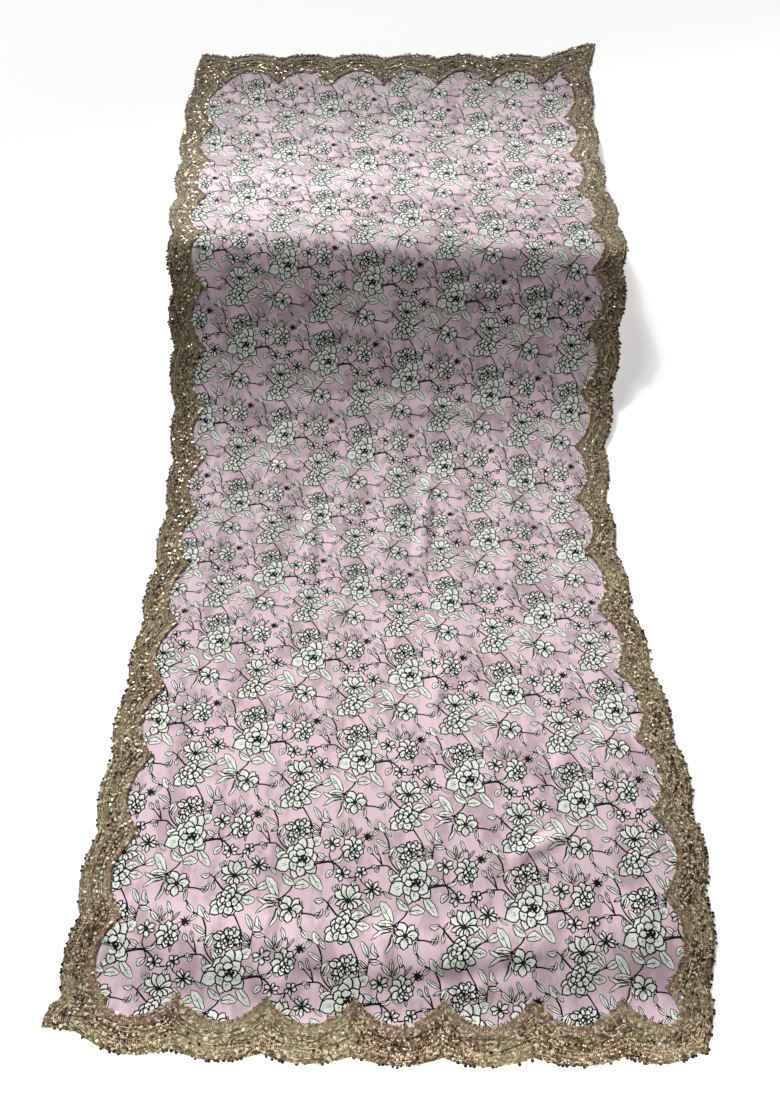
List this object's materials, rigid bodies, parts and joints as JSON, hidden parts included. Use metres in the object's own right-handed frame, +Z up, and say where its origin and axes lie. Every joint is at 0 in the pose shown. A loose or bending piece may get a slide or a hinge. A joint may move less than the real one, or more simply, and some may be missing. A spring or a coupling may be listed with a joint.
{
  "type": "dupatta stole",
  "caption": "Long printed dupatta stole with a scalloped lace border on all four sides, lying open with one low ruck across it and soft folds at its waist.",
  "frame": {"origin": "on the floor, under the middle of the cloth's outline", "axes": "+Y along the cloth from the near end to the far end, +X to the right as seen from the near end, +Z up"},
  "size_m": [0.9984, 2.3068, 0.0923],
  "materials": {
    "printed_cloth": "thin plain-woven cloth with a soft sheen, pale pink with a pale green and charcoal rose print",
    "gold_lace": "dusty rose net covered with antique gold cord embroidery and flat ring sequins"
  },
  "bodies": {
    "root": {"printed_panel": "printed_cloth", "lace_near_end": "gold_lace", "lace_far_end": "gold_lace", "lace_left_side": "gold_lace", "lace_right_side": "gold_lace"}
  },
  "joints": []
}
